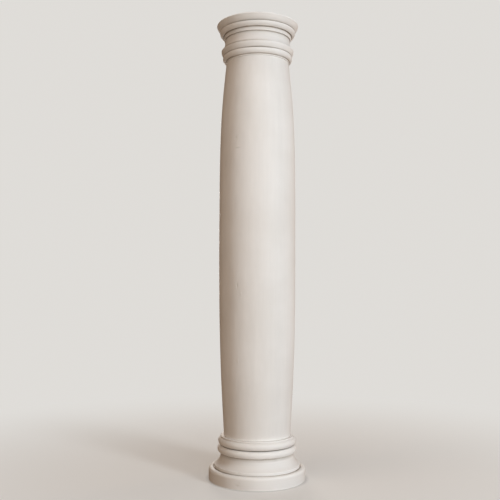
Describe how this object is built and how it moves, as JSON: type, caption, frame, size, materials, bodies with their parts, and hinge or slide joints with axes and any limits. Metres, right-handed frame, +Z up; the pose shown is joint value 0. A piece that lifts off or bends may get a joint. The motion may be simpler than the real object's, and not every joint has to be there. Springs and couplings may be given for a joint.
{
  "type": "architectural column",
  "caption": "Free-standing round column of cast plaster with a plain swelling shaft, a moulded base on a round plinth and a moulded capital under a round slab.",
  "frame": {"origin": "centre of the plinth's flat underside, on the floor", "axes": "+Z up along the column's axis; the column is round, so X and Y are free"},
  "size_m": [0.5109, 0.511, 2.44],
  "materials": {
    "cast_plaster": "matte, smooth hand-finished plaster, off-white, with faint grey in the quirks"
  },
  "bodies": {
    "root": {"base": "cast_plaster", "shaft": "cast_plaster", "capital": "cast_plaster"}
  },
  "joints": []
}
